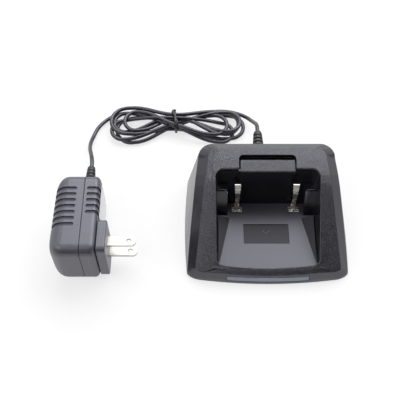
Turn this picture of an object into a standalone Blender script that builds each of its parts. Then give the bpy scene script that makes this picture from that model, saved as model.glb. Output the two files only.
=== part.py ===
"""Desktop charging cradle for a hand-held radio, with its captive cord and wall adapter.

Metres, +Z up. The origin is the middle of the cradle's underside, and its low front edge faces -Y.
"""

import math

import bmesh
import bpy
from mathutils import Matrix, Vector

MM = 0.001
GAP = 0.3  # clearance between neighbouring pieces

# Cradle
CRADLE_HEIGHT = 41.0  # flat rear part of the top, at its bend
BASE_HALF_REAR = 50.0
BASE_HALF_FRONT = 50.0
BASE_REAR_Y = 41.7
BASE_FRONT_Y = -41.7
FLOAT_Z = 0.8  # underside of the housing, carried by the feet
WALL = 2.2
TOP_WALL = 1.8
BEND_Y = 12.5
REAR_SLOPE = 0.2
BEND_Z = CRADLE_HEIGHT - 3.8
FRONT_SLOPE = 0.571
CROWN_SLOPE = 0.2
BAND_DROP = 5.0
OPENING_HALF_REAR = 32.0
OPENING_HALF_FRONT = 31.0
OPENING_REAR_Y = 18.0
OPENING_FRONT_Y = -35.5
NOTCH_HALF = 17.6
NOTCH_REAR_Y = 27.0
TAB_HALF = NOTCH_HALF - 0.85
TAB_FRONT_Y = 15.9
TAB_REAR_Y = 23.8
FLOOR_Z = 7.0
FLOOR_REAR_Y = 12.5
WELL_WALL = 1.5
GUIDE_INNER = 24.3
BAR_HALF = 25.0
BAR_Z = (3.3, 5.9)
COVER_TOP_Z = FLOAT_Z + 2.2
BOARD_Z = COVER_TOP_Z + 0.4
BOARD_THICK = 1.2
BOARD_TOP_Z = BOARD_Z + BOARD_THICK
CONTACT_X = 18.1
HINGE = (10.3, 11.2)  # y and z of a contact leaf's bend
LEAF_TOP_Z = 30.0
FOOT_RADIUS = 4.0
FOOT_HEIGHT = 1.6
GLAND_X = -3.8
GLAND_Z = 24.0
GLAND_START_Y = 34.4
GLAND_TIP_Y = 57.0
GLAND_RADIUS = 3.4

# Wall adapter, lying on its side with the blades towards +X
ADAPTER_X = (-133.0, -102.7)
ADAPTER_Y = (-38.5, 16.5)
ADAPTER_HEIGHT = 36.0
ADAPTER_WALL = 2.0
SEAM_X = -112.0
BLOCK_X = -97.0
BLOCK_Y = (-36.5, -14.8)
BLADE_Y = -24.9
BLADE_TIP_X = -80.1
BLADE_WIDTH = 6.35
BLADE_THICK = 1.5
BLADE_SPACING = 12.7
RELIEF_TIP_Y = 32.8
RELIEF_RADIUS = 3.2

# Cord
CORD_RADIUS = 1.35
HANK_HEIGHT = 8.0

for old in list(bpy.data.objects):
    bpy.data.objects.remove(old)

scene = bpy.context.scene
scene.unit_settings.system = "METRIC"
parts = bpy.data.collections.new("charging_cradle")
helpers = bpy.data.collections.new("cutters")
scene.collection.children.link(parts)
scene.collection.children.link(helpers)
helpers.hide_render = True


# Materials: name -> (colour, roughness, metallic)
FINISHES = {
    "grained_black": ((0.03, 0.03, 0.035), 0.5, 0.0),
    "gloss_black": ((0.01, 0.01, 0.012), 0.15, 0.0),
    "satin_black": ((0.025, 0.025, 0.028), 0.35, 0.0),
    "frosted_clear": ((0.55, 0.6, 0.7), 0.3, 0.0),
    "rubber_black": ((0.015, 0.015, 0.015), 0.8, 0.0),
    "nickel": ((0.75, 0.73, 0.68), 0.2, 1.0),
    "steel": ((0.5, 0.5, 0.5), 0.3, 1.0),
    "aluminium": ((0.75, 0.75, 0.77), 0.35, 1.0),
    "board_green": ((0.05, 0.25, 0.12), 0.5, 0.0),
    "component_black": ((0.02, 0.02, 0.02), 0.5, 0.0),
    "capacitor_blue": ((0.05, 0.08, 0.2), 0.35, 0.0),
    "winding_tape": ((0.7, 0.5, 0.1), 0.45, 0.0),
    "terminal_white": ((0.8, 0.8, 0.76), 0.5, 0.0),
    "lamp_clear": ((0.8, 0.85, 0.8), 0.1, 0.0),
    "lead_red": ((0.5, 0.03, 0.02), 0.5, 0.0),
    "label_pale": ((0.8, 0.8, 0.8), 0.4, 0.0),
    "cord_black": ((0.02, 0.02, 0.02), 0.4, 0.0),
}


def finish(obj, kind):
    """Gives the object its own material."""
    colour, roughness, metallic = FINISHES[kind]
    material = bpy.data.materials.new(f"{obj.name}_{kind}")
    material.use_nodes = True
    shader = material.node_tree.nodes["Principled BSDF"]
    shader.inputs["Base Color"].default_value = (*colour, 1.0)
    shader.inputs["Roughness"].default_value = roughness
    shader.inputs["Metallic"].default_value = metallic
    obj.data.materials.clear()
    obj.data.materials.append(material)


def put(name, mesh, kind=None):
    """A part when it has a finish, a hidden cutter otherwise."""
    obj = bpy.data.objects.new(name, mesh)
    if kind is None:
        helpers.objects.link(obj)
        obj.hide_render = True
        obj.display_type = "WIRE"
    else:
        parts.objects.link(obj)
        finish(obj, kind)
    return obj


def mesh_of(name, points, faces, edges=()):
    mesh = bpy.data.meshes.new(name)
    mesh.from_pydata([Vector(p) * MM for p in points], edges, faces)
    mesh.update()
    return mesh


def outward(mesh):
    """Turns all faces outwards."""
    work = bmesh.new()
    work.from_mesh(mesh)
    bmesh.ops.remove_doubles(work, verts=work.verts, dist=1e-7)
    bmesh.ops.recalc_face_normals(work, faces=work.faces)
    work.to_mesh(mesh)
    work.free()


def loft(name, rings, kind=None, loop=False):
    """Skin over rings of equal point count, capped at both ends or closed into a loop."""
    count = len(rings[0])
    points = [p for ring in rings for p in ring]
    faces = []
    spans = len(rings) if loop else len(rings) - 1
    for i in range(spans):
        low, high = i * count, (i + 1) % len(rings) * count
        for j in range(count):
            k = (j + 1) % count
            faces.append((low + j, low + k, high + k, high + j))
    if not loop:
        faces.append(tuple(range(count))[::-1])
        faces.append(tuple(range((len(rings) - 1) * count, len(rings) * count)))
    mesh = mesh_of(name, points, faces)
    outward(mesh)
    return put(name, mesh, kind)


def box(name, low, high, kind=None, bevel=0.0):
    mesh = bpy.data.meshes.new(name)
    work = bmesh.new()
    bmesh.ops.create_cube(work, size=1.0)
    size = [(b - a) * MM for a, b in zip(low, high)]
    middle = [(a + b) / 2 * MM for a, b in zip(low, high)]
    bmesh.ops.transform(
        work, verts=work.verts, matrix=Matrix.Translation(middle) @ Matrix.Diagonal((*size, 1.0))
    )
    work.to_mesh(mesh)
    work.free()
    obj = put(name, mesh, kind)
    if bevel:
        rounding = obj.modifiers.new("edges", "BEVEL")
        rounding.width = bevel * MM
        rounding.segments = 2
    return obj


def turned(name, profile, start, towards, kind=None, steps=20):
    """Revolves (radius, distance) points about the line from start in the direction towards."""
    points = [(r, 0.0, -d) for r, d in profile]
    edges = [(i, i + 1) for i in range(len(points) - 1)]
    obj = put(name, mesh_of(name, points, [], edges), kind)
    screw = obj.modifiers.new("turn", "SCREW")
    screw.steps = screw.render_steps = steps
    screw.use_merge_vertices = True
    screw.merge_threshold = 1e-6
    turn = Vector((0, 0, -1)).rotation_difference(Vector(towards).normalized())
    obj.matrix_world = Matrix.Translation(Vector(start) * MM) @ turn.to_matrix().to_4x4()
    return obj


def rod(name, start, end, radius, kind=None, steps=20):
    length = (Vector(end) - Vector(start)).length
    profile = [(0, 0), (radius, 0), (radius, length), (0, length)]
    towards = Vector(end) - Vector(start)
    return turned(name, profile, start, towards, kind, steps)


def tube(name, points, radius, kind, resolution=2):
    curve = bpy.data.curves.new(name, "CURVE")
    curve.dimensions = "3D"
    curve.bevel_depth = radius * MM
    curve.bevel_resolution = resolution
    curve.use_fill_caps = True
    spline = curve.splines.new("POLY")
    spline.points.add(len(points) - 1)
    for point, place in zip(spline.points, points):
        point.co = (*(Vector(place) * MM), 1.0)
    guide = bpy.data.objects.new(name + "_guide", curve)
    scene.collection.objects.link(guide)
    mesh = bpy.data.meshes.new_from_object(guide)
    bpy.data.objects.remove(guide)
    mesh.name = name
    outward(mesh)
    return put(name, mesh, kind)


def smooth(route, count):
    """Evenly spaced points on a Catmull-Rom curve through the route."""
    knots = [Vector(p) for p in route]
    knots = [2 * knots[0] - knots[1], *knots, 2 * knots[-1] - knots[-2]]
    fine = []
    for i in range(1, len(knots) - 2):
        a, b, c, d = knots[i - 1 : i + 3]
        for step in range(24):
            t = step / 24
            fine.append(
                0.5 * (2 * b + (c - a) * t + (2 * a - 5 * b + 4 * c - d) * t**2)
                + 0.5 * (3 * b - a - 3 * c + d) * t**3
            )
    fine.append(knots[-2])
    along = [0.0]
    for p, q in zip(fine, fine[1:]):
        along.append(along[-1] + (q - p).length)
    points = []
    for i in range(count):
        wanted = along[-1] * i / (count - 1)
        j = max(k for k in range(len(fine) - 1) if along[k] <= wanted + 1e-9)
        share = (wanted - along[j]) / max(along[j + 1] - along[j], 1e-9)
        points.append(fine[j].lerp(fine[j + 1], min(share, 1.0)))
    return points


def prism(name, outline, low, high, kind=None, along="z"):
    """Filled 2D curve given thickness: outline in (x, y) along z, or in (y, z) along x."""
    curve = bpy.data.curves.new(name, "CURVE")
    curve.dimensions = "2D"
    curve.fill_mode = "BOTH"
    curve.extrude = (high - low) / 2 * MM
    spline = curve.splines.new("POLY")
    spline.points.add(len(outline) - 1)
    for point, (u, v) in zip(spline.points, outline):
        point.co = (u * MM, v * MM, 0.0, 1.0)
    spline.use_cyclic_u = True
    guide = bpy.data.objects.new(name + "_guide", curve)
    scene.collection.objects.link(guide)
    mesh = bpy.data.meshes.new_from_object(guide)
    bpy.data.objects.remove(guide)
    mesh.name = name
    place = Matrix.Translation((0, 0, (low + high) / 2 * MM))
    if along == "x":
        turn = Matrix(((0, 0, 1, 0), (1, 0, 0, 0), (0, 1, 0, 0), (0, 0, 0, 1)))
        place = turn @ place
    mesh.transform(place)
    outward(mesh)
    return put(name, mesh, kind)


def combine(target, others, operation="DIFFERENCE"):
    for other in others:
        step = target.modifiers.new(other.name, "BOOLEAN")
        step.operation = operation
        step.solver = "EXACT"
        step.object = other


def rounded_block(name, low, high, side, left, right, kind=None):
    """Block with its long edges along x rounded by side, and the rims of its -X and +X ends."""
    quarter = [math.radians(a) for a in (0, 22.5, 45, 67.5, 90)]
    stations = [(low[0] + left * (1 - math.sin(a)), left * (1 - math.cos(a))) for a in quarter[::-1]]
    stations += [(high[0] - right * (1 - math.sin(a)), right * (1 - math.cos(a))) for a in quarter]
    rings = []
    for x, inset in stations:
        radius = max(side - inset, 0.6)
        ring = []
        for sy, sz, start in ((1, 1, 0), (-1, 1, 90), (-1, -1, 180), (1, -1, 270)):
            middle_y = (high[1] if sy > 0 else low[1]) - sy * (inset + radius)
            middle_z = (high[2] if sz > 0 else low[2]) - sz * (inset + radius)
            for a in range(0, 91, 18):
                angle = math.radians(start + a)
                ring.append(
                    (x, middle_y + radius * math.cos(angle), middle_z + radius * math.sin(angle))
                )
        rings.append(ring)
    return loft(name, rings, kind)


# Cradle housing: every ring has the same stations, so neighbouring rings line up.
SIDE_SHARES = (0.0, 0.2, 0.4, 0.58, 0.72, 0.82, 0.9, 0.96, 1.0)


def outline(rear, front, y_rear, y_front, r_rear, r_front, bow=0.0, barrel=0.0):
    """Rounded outline from the front's middle round the +X side and back, with a bowed front."""
    right = []
    for i in range(7):
        x = (front - r_front) * i / 7
        right.append((x, y_front))
    for i in range(7):
        angle = math.radians(-90 + 15 * i)
        x = front - r_front + r_front * math.cos(angle)
        right.append((x, y_front + r_front + r_front * math.sin(angle)))
    low, high = y_front + r_front, y_rear - r_rear
    for share in SIDE_SHARES[1:-1]:
        x = front + (rear - front) * share + barrel * 4 * share * (1 - share)
        right.append((x, low + (high - low) * share))
    for i in range(7):
        angle = math.radians(15 * i)
        x = rear - r_rear + r_rear * math.cos(angle)
        right.append((x, high + r_rear * math.sin(angle)))
    for i in range(1, 5):
        right.append(((rear - r_rear) * (1 - i / 5), y_rear))
    right.append((0.0, y_rear))
    bowed = []
    for x, y in right:
        share = min(max((y_front + r_front - y) / r_front, 0.0), 1.0)
        bowed.append((x, y + bow * (x / front) ** 2 * share))
    return bowed + [(-x, y) for x, y in bowed[-2:0:-1]]


def top_z(y):
    """Top face along the middle: steep in front of the bend, nearly flat behind it."""
    steep = BEND_Z + FRONT_SLOPE * (y - BEND_Y)
    flat = BEND_Z + REAR_SLOPE * (y - BEND_Y)
    return (steep + flat - math.hypot(steep - flat, 1.2)) / 2 + 0.5


def crowned_z(x, y):
    return top_z(y) - CROWN_SLOPE * max(abs(x) - OPENING_HALF_FRONT, 0.0)


def between(first, second, share):
    return [tuple(a + (b - a) * share for a, b in zip(p, q)) for p, q in zip(first, second)]


base_line = outline(
    BASE_HALF_REAR, BASE_HALF_FRONT, BASE_REAR_Y, BASE_FRONT_Y, 10.0, 8.0, bow=4.0, barrel=1.4
)
rim_line = outline(42.9, 49.6, BASE_REAR_Y - 4.2, BASE_FRONT_Y + 0.5, 8.5, 8.0, bow=3.9, barrel=0.3)
band_line = outline(36.7, 44.4, BASE_REAR_Y - 9.7, BASE_FRONT_Y + 2.2, 6.0, 5.0, bow=3.2)
opening_line = outline(
    OPENING_HALF_REAR, OPENING_HALF_FRONT, OPENING_REAR_Y, OPENING_FRONT_Y, 5.0, 4.0, bow=2.0
)

base_ring = [(x, y, FLOAT_Z) for x, y in base_line]
band_ring = [(x, y, crowned_z(x, y)) for x, y in band_line]
rim_ring = [
    (x, y, max(b[2] - BAND_DROP + (1.4 if y > 30 else 0.0), 2.0))
    for (x, y), b in zip(rim_line, band_ring)
]
opening_ring = [(x, y, top_z(y)) for x, y in opening_line]
middle_ring = [
    (x, y, crowned_z(x, y) + 0.15)
    for x, y, _ in between(opening_ring, band_ring, 0.5)
]


def lowered(ring, drop):
    return [(x, y, z - drop) for x, y, z in ring]


inner_base = outline(
    BASE_HALF_REAR - WALL,
    BASE_HALF_FRONT - WALL,
    BASE_REAR_Y - WALL,
    BASE_FRONT_Y + WALL,
    8.0,
    6.0,
    bow=4.0,
    barrel=1.4,
)
inner_rim = outline(41.0, 47.3, BASE_REAR_Y - 6.4, BASE_FRONT_Y + 2.6, 7.0, 6.0, bow=3.9, barrel=0.3)
inner_band = outline(35.6, 43.0, BASE_REAR_Y - 10.8, BASE_FRONT_Y + 4.2, 5.0, 4.0, bow=3.2)
housing_rings = [
    base_ring,
    between(base_ring, rim_ring, 0.5),
    rim_ring,
    between(rim_ring, band_ring, 0.06),
    between(rim_ring, band_ring, 0.94),
    band_ring,
    middle_ring,
    between(opening_ring, middle_ring, 0.08),
    lowered(opening_ring, 0.35),
    lowered(opening_ring, TOP_WALL),
    [(x, y, crowned_z(x, y) - TOP_WALL - 0.2) for x, y in inner_band],
    [
        (x, y, max(z - 2.1, FLOAT_Z + 0.8))
        for (x, y), (_, _, z) in zip(inner_rim, rim_ring)
    ],
    [(x, y, FLOAT_Z) for x, y in inner_base],
]
housing = loft("top_housing", housing_rings, "grained_black", loop=True)

BOSSES = [(side * x, y, z) for side in (-1, 1) for x, y, z in ((38.0, 24.0, 33.0), (40.0, -26.0, 12.0))]
bosses = [
    rod(f"boss_{i}", (x, y, COVER_TOP_Z + GAP), (x, y, z), 2.8) for i, (x, y, z) in enumerate(BOSSES)
]
combine(housing, bosses, "UNION")
boss_holes = [
    rod(f"boss_hole_{i}", (x, y, 0.0), (x, y, COVER_TOP_Z + 7.2), 1.2 + GAP)
    for i, (x, y, _) in enumerate(BOSSES)
]
notch = box(
    "clip_notch", (-NOTCH_HALF, TAB_FRONT_Y - 1, 30.0), (NOTCH_HALF, NOTCH_REAR_Y, 50.0), bevel=2.2
)
bar_window = box(
    "bar_window",
    (-BAR_HALF - GAP, BASE_FRONT_Y - 3, BAR_Z[0] - GAP),
    (BAR_HALF + GAP, BASE_FRONT_Y + 6, BAR_Z[1] + GAP),
)
gland_hole = rod("gland_hole", (GLAND_X, 30, GLAND_Z), (GLAND_X, 50, GLAND_Z), GLAND_RADIUS + GAP)
combine(housing, [*boss_holes, notch, bar_window, gland_hole])

# Charging well: a cup under the opening's edge, with the guide wedges and the recess in its floor.
UNDER = TOP_WALL + GAP
inner_top = outline(
    OPENING_HALF_REAR + 0.3,
    OPENING_HALF_FRONT + 0.3,
    OPENING_REAR_Y + 0.3,
    OPENING_FRONT_Y - 0.3,
    5.0,
    4.0,
    bow=2.0,
)
inner_floor = outline(30.2, 30.4, FLOOR_REAR_Y, OPENING_FRONT_Y, 3.5, 4.0, bow=2.0)
outer_top = outline(
    OPENING_HALF_REAR + WELL_WALL,
    OPENING_HALF_FRONT + WELL_WALL,
    OPENING_REAR_Y + WELL_WALL + 0.3,
    OPENING_FRONT_Y - WELL_WALL,
    6.0,
    5.0,
    bow=2.0,
)
outer_floor = outline(
    30.2 + WELL_WALL,
    30.4 + WELL_WALL,
    FLOOR_REAR_Y + WELL_WALL,
    OPENING_FRONT_Y - WELL_WALL + 0.3,
    5.0,
    5.0,
    bow=2.0,
)
inner_rim_ring = [(x, y, crowned_z(x, y) - UNDER - 0.7) for x, y in inner_top]
outer_rim_ring = [
    (x, y, min(i[2], crowned_z(x, y) - UNDER - 0.7)) for (x, y), i in zip(outer_top, inner_rim_ring)
]
well = loft(
    "charging_well",
    [
        [(x, y, FLOOR_Z) for x, y in inner_floor],
        inner_rim_ring,
        outer_rim_ring,
        [(x, y, FLOOR_Z - WELL_WALL) for x, y in outer_floor],
    ],
    "gloss_black",
)
guides = []
for side in (-1, 1):
    wedge = [(13.3, 6.2), (16.6, 24.0), (12.4, 24.0), (11.6, 23.2), (3.4, 6.6), (3.6, 6.2)]
    inner, outer = sorted((side * GUIDE_INNER, side * 31.55))
    guides.append(prism(f"guide_{side}", wedge, inner, outer, along="x"))
combine(well, guides, "UNION")
recess = box("floor_recess", (-14.2, -16.8, FLOOR_Z - 0.6), (14.2, -3.0, FLOOR_Z + 5))
well_cuts = [recess]
for side in (-1, 1):
    x = side * CONTACT_X
    well_cuts.append(
        box(f"tail_slot_{side}", (x - 1.9, 9.4, 4.0), (x + 1.9, 10.9, FLOOR_Z + 1.0))
    )
    well_cuts.append(rod(f"screw_hole_{side}", (x, 7.6, 4.0), (x, 7.6, 9.0), 0.95, steps=16))
combine(well, well_cuts)

# Belt-clip tab: a plate over the well's rear wall, with the slot's liner behind it.
tab_under = top_z(OPENING_REAR_Y + 0.3) - UNDER + GAP
tab_section = [
    (TAB_FRONT_Y, tab_under),
    (22.3, tab_under),
    (22.3, 25.0),
    (NOTCH_REAR_Y + 1.6, 25.0),
    (NOTCH_REAR_Y + 1.6, 37.2),
    (NOTCH_REAR_Y + GAP, 37.2),
    (NOTCH_REAR_Y + GAP, 26.4),
    (TAB_REAR_Y, 26.4),
    (TAB_REAR_Y, top_z(TAB_REAR_Y) + 0.1),
    (TAB_REAR_Y - 0.5, top_z(TAB_REAR_Y) + 0.45),
    (TAB_FRONT_Y + 0.5, top_z(TAB_FRONT_Y) + 0.45),
    (TAB_FRONT_Y, top_z(TAB_FRONT_Y) + 0.05),
]
prism("clip_tab", tab_section, -TAB_HALF, TAB_HALF, "grained_black", along="x")

# Base cover, feet and the screws that close the housing.
cover_line = outline(
    BASE_HALF_REAR - WALL - 1.2,
    BASE_HALF_FRONT - WALL - 2.1,
    BASE_REAR_Y - WALL - 1.0,
    BASE_FRONT_Y + WALL + 1.3,
    8.5,
    7.5,
    bow=4.0,
    barrel=1.2,
)
cover = prism("base_cover", cover_line, FLOAT_Z, COVER_TOP_Z, "satin_black")
FEET = {
    "front_left": (-33.0, -30.0),
    "front_right": (33.0, -30.0),
    "rear_left": (-33.0, 30.0),
    "rear_right": (33.0, 30.0),
}
cover_cuts = []
for place, (x, y) in FEET.items():
    cover_cuts.append(
        rod(f"foot_seat_{place}", (x, y, 0.0), (x, y, FOOT_HEIGHT + GAP), FOOT_RADIUS + GAP)
    )
    profile = [
        (0, 0),
        (FOOT_RADIUS - 0.3, 0),
        (FOOT_RADIUS, 0.3),
        (FOOT_RADIUS, FOOT_HEIGHT),
        (0, FOOT_HEIGHT),
    ]
    turned(f"foot_{place}", profile, (x, y, 0.0), (0, 0, 1), "rubber_black", steps=24)
SCREW_NAMES = ("rear_left", "front_left", "rear_right", "front_right")
for place, (x, y, _) in zip(SCREW_NAMES, BOSSES):
    cover_cuts.append(rod(f"screw_seat_{place}", (x, y, 0.0), (x, y, FLOAT_Z + 1.5), 2.7))
    cover_cuts.append(rod(f"screw_way_{place}", (x, y, 0.0), (x, y, 5.0), 1.2 + GAP))
    profile = [(0, 0), (2.2, 0), (2.4, 0.3), (2.4, 1.1), (1.2, 1.1), (1.2, 8.0), (0.5, 8.8), (0, 8.8)]
    screw = turned(
        f"housing_screw_{place}", profile, (x, y, FLOAT_Z + 0.1), (0, 0, 1), "steel", steps=16
    )
    slot_x = box(f"drive_x_{place}", (x - 1.4, y - 0.3, 0.0), (x + 1.4, y + 0.3, FLOAT_Z + 0.7))
    slot_y = box(f"drive_y_{place}", (x - 0.3, y - 1.4, 0.0), (x + 0.3, y + 1.4, FLOAT_Z + 0.7))
    combine(screw, [slot_x, slot_y])
combine(cover, cover_cuts)

# Light bar in the front window, following the bowed front.
bar_sections = []
for i in range(13):
    x = -BAR_HALF + 2 * BAR_HALF * i / 12
    bow = 3.6 * (x / 49.8) ** 2
    front_low = BASE_FRONT_Y + 0.45 + bow
    front_high = BASE_FRONT_Y + 1.55 + bow
    back = BASE_FRONT_Y + 3.3 + bow
    bar_sections.append(
        [
            (x, front_low, BAR_Z[0]),
            (x, front_high, BAR_Z[1]),
            (x, back, BAR_Z[1]),
            (x, back, BAR_Z[0]),
        ]
    )
loft("light_bar", bar_sections, "frosted_clear")

# Circuit board, with the tall components behind the well.
board_line = [
    (-30.0, -33.0),
    (-16.0, -37.3),
    (16.0, -37.3),
    (30.0, -33.0),
    (32.0, 16.0),
    (34.0, 20.0),
    (34.0, 36.5),
    (-34.0, 36.5),
    (-34.0, 20.0),
    (-32.0, 16.0),
]
board = prism("circuit_board", board_line, BOARD_Z, BOARD_TOP_Z, "board_green")
SEAT = BOARD_TOP_Z + GAP
for name, x, y in (("filter_capacitor_left", -26.0, 28.5), ("filter_capacitor_right", -14.5, 31.0)):
    profile = [
        (0, 0),
        (4.2, 0),
        (4.5, 0.4),
        (4.5, 2.0),
        (4.2, 2.5),
        (4.5, 3.0),
        (4.5, 15.6),
        (4.2, 16.0),
        (0, 16.0),
    ]
    turned(name, profile, (x, y, SEAT), (0, 0, 1), "capacitor_blue", steps=24)
coil_profile = [(0, 0), (4.8, 0), (4.8, 1.2), (3.6, 1.2), (3.6, 6.2), (4.8, 6.2), (4.8, 7.4), (0, 7.4)]
turned("filter_coil", coil_profile, (8.0, 31.5, SEAT), (0, 0, 1), "component_black", steps=24)
box("charge_controller", (2.0, 19.5, SEAT), (9.5, 24.5, SEAT + 1.5), "component_black", bevel=0.2)
box("pass_transistor", (19.0, 22.5, SEAT), (29.0, 27.0, SEAT + 14.0), "component_black", bevel=0.3)
fins = [(16.0, 27.4), (32.0, 27.4), (32.0, 29.0)]
for i in range(5):
    x = 32.0 - 3.6 * i
    fins += [(x, 34.0), (x - 1.2, 34.0), (x - 1.2, 29.0)]
    if i < 4:
        fins += [(x - 3.6, 29.0)]
fins += [(16.0, 29.0)]
prism("heat_sink", fins, SEAT, SEAT + 18.0, "aluminium")
box("cord_terminal", (GLAND_X - 4.0, 30.0, SEAT), (GLAND_X + 4.0, 36.0, SEAT + 8.0), "terminal_white", bevel=0.4)
for name, side in (("status_lamp_left", -1), ("status_lamp_right", 1)):
    lamp_y = BASE_FRONT_Y + 3.3 + GAP
    box(
        name,
        (side * 10.0 - 1.6, lamp_y + 0.45, SEAT),
        (side * 10.0 + 1.6, lamp_y + 1.05, SEAT + 1.1),
        "lamp_clear",
        bevel=0.15,
    )

# Strain reliefs, ribbed and tapering towards the cord.
def strain_relief(name, start, hole_radius, neck, pitch, length):
    """Inside flange, neck through the wall, collar and five ribs, from start towards +Y."""
    neck_end = 1.4 + neck
    collar = hole_radius + 0.8
    profile = [(0, 0), (hole_radius + 1.3, 0), (hole_radius + 1.3, 1.4), (hole_radius, 1.4)]
    profile += [(hole_radius, neck_end), (collar, neck_end), (collar, neck_end + 1.6)]
    for i in range(5):
        at = neck_end + 2.4 + pitch * i
        radius = collar - 0.35 - 0.22 * i
        profile += [(2.4, at - 0.5), (2.4, at + 0.3), (radius, at + 0.5)]
        profile += [(radius - 0.1, at + pitch - 0.6)]
    profile += [(2.4, length), (0, length)]
    turned(name, profile, start, (0, 1, 0), "rubber_black")


strain_relief(
    "cradle_strain_relief",
    (GLAND_X, GLAND_START_Y, GLAND_Z),
    GLAND_RADIUS,
    4.0,
    2.8,
    GLAND_TIP_Y - GLAND_START_Y,
)

# Leads from the gland down to the terminal.
for name, side, kind in (("input_lead_plus", -1, "lead_red"), ("input_lead_minus", 1, "component_black")):
    x = GLAND_X + side * 1.6
    route = [
        (x, GLAND_START_Y - GAP - 0.1, GLAND_Z),
        (x, GLAND_START_Y - 0.9, GLAND_Z),
        (x, GLAND_START_Y - 1.4, GLAND_Z),
        (x, GLAND_START_Y - 2.4, GLAND_Z - 2.5),
        (x, GLAND_START_Y - 1.6, SEAT + 8.0 + 2.6),
        (x, GLAND_START_Y - 1.6, SEAT + 8.0 + GAP),
    ]
    tube(name, smooth(route, 12), 0.7, kind, resolution=1)

# Charging contacts: a fixed foot through the floor, its screw, and the leaf that bends back.
for name, side in (("left", -1), ("right", 1)):
    x = side * CONTACT_X
    y, z = HINGE
    foot_section = [
        (9.8, FLOOR_Z - 2.0),
        (10.5, FLOOR_Z - 2.0),
        (10.5, z),
        (9.9, z),
        (9.9, FLOOR_Z + 0.9),
        (9.2, FLOOR_Z + 0.9),
        (9.2, FLOOR_Z + GAP),
        (9.8, FLOOR_Z + GAP),
    ]
    foot = prism(f"contact_foot_{name}", foot_section, x - 1.6, x + 1.6, "nickel", along="x")
    plate = box(
        f"contact_plate_{name}", (x - 3.4, 5.8, FLOOR_Z + GAP), (x + 3.4, 9.6, FLOOR_Z + 0.8)
    )
    combine(foot, [plate], "UNION")
    combine(foot, [rod(f"plate_hole_{name}", (x, 7.6, 6.0), (x, 7.6, 9.0), 0.95, steps=16)])
    profile = [(0, 0), (1.1, 0), (1.6, 0.5), (1.6, 1.0), (0.65, 1.0), (0.65, 3.4), (0, 3.4)]
    turned(
        f"contact_screw_{name}", profile, (x, 7.6, FLOOR_Z + 2.1), (0, 0, -1), "nickel", steps=16
    )
    leaf_line = [(y, z + GAP), (9.8, 15.0), (9.2, 19.7), (9.7, 23.0), (11.0, 27.0), (11.9, LEAF_TOP_Z)]
    widths = [2.2, 2.4, 2.6, 3.1, 3.7, 4.0]
    rings = []
    for (ly, lz), width in zip(leaf_line, widths):
        rings.append(
            [
                (x - width / 2, ly, lz),
                (x + width / 2, ly, lz),
                (x + width / 2, ly + 0.45, lz),
                (x - width / 2, ly + 0.45, lz),
            ]
        )
    leaf = loft(f"contact_leaf_{name}", rings, "nickel")
    hinge = bpy.data.objects.new(f"hinge_{name}", None)
    hinge.location = Vector((x, y, z)) * MM
    parts.objects.link(hinge)
    leaf.parent = hinge
    leaf.matrix_parent_inverse = Matrix.Translation(hinge.location).inverted()

# Wall adapter shells, split at the seam and hollow.
Z_LOW, Z_HIGH = 0.0, ADAPTER_HEIGHT
MID_Z = ADAPTER_HEIGHT / 2
rear_shell = rounded_block(
    "adapter_rear_shell",
    (ADAPTER_X[0], ADAPTER_Y[0], Z_LOW),
    (ADAPTER_X[1] + 8, ADAPTER_Y[1], Z_HIGH),
    5.0,
    6.5,
    3.0,
    "satin_black",
)
front_shell = rounded_block(
    "adapter_front_shell",
    (ADAPTER_X[0] - 8, ADAPTER_Y[0], Z_LOW),
    (ADAPTER_X[1], ADAPTER_Y[1], Z_HIGH),
    5.0,
    3.0,
    2.0,
    "satin_black",
)
cavity_low = (ADAPTER_X[0] + ADAPTER_WALL, ADAPTER_Y[0] + ADAPTER_WALL, Z_LOW + ADAPTER_WALL)
cavity_high = (ADAPTER_X[1] - ADAPTER_WALL, ADAPTER_Y[1] - ADAPTER_WALL, Z_HIGH - ADAPTER_WALL)
cavity = rounded_block("adapter_cavity", cavity_low, cavity_high, 3.4, 4.5, 1.0)
beyond_seam = box("beyond_seam", (SEAM_X - GAP / 2, -60, -10), (-80, 40, 50))
before_seam = box("before_seam", (-150, -60, -10), (SEAM_X + GAP / 2, 40, 50))
relief_hole = rod("relief_hole", (SEAM_X, 8, MID_Z), (SEAM_X, 20, MID_Z), RELIEF_RADIUS + GAP)
rear_vents, front_vents = [], []
for level, low, high in (("top", 30.0, 40.0), ("bottom", -4.0, 6.0)):
    for i in range(7):
        y = 6.4 - 4.4 * i
        rear_vents.append(
            box(f"rear_vent_{level}_{i}", (-137, y - 0.65, low), (-115.4, y + 0.65, high))
        )
    for i in range(5):
        y = 6.6 - 4.6 * i
        front_vents.append(
            box(f"front_vent_{level}_{i}", (-110.2, y - 0.65, low), (-100, y + 0.65, high))
        )
combine(rear_shell, [beyond_seam, cavity, relief_hole, *rear_vents])
blade_ways = []
for sign in (-1, 1):
    z = MID_Z + sign * BLADE_SPACING / 2
    blade_ways.append(
        box(
            f"blade_way_{sign}",
            (-112, BLADE_Y - BLADE_WIDTH / 2 - GAP, z - BLADE_THICK / 2 - GAP),
            (-90, BLADE_Y + BLADE_WIDTH / 2 + GAP, z + BLADE_THICK / 2 + GAP),
        )
    )
combine(front_shell, [before_seam, cavity, relief_hole, *front_vents, *blade_ways])
block = rounded_block(
    "plug_block",
    (ADAPTER_X[1] + GAP, BLOCK_Y[0], 1.5),
    (BLOCK_X, BLOCK_Y[1], Z_HIGH - 1.5),
    3.0,
    0.3,
    0.8,
    "satin_black",
)
combine(block, blade_ways)
box(
    "rating_label",
    (ADAPTER_X[1] + 0.25, -12.0, 5.5),
    (ADAPTER_X[1] + 0.5, 11.5, Z_HIGH - 5.5),
    "label_pale",
)

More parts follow.
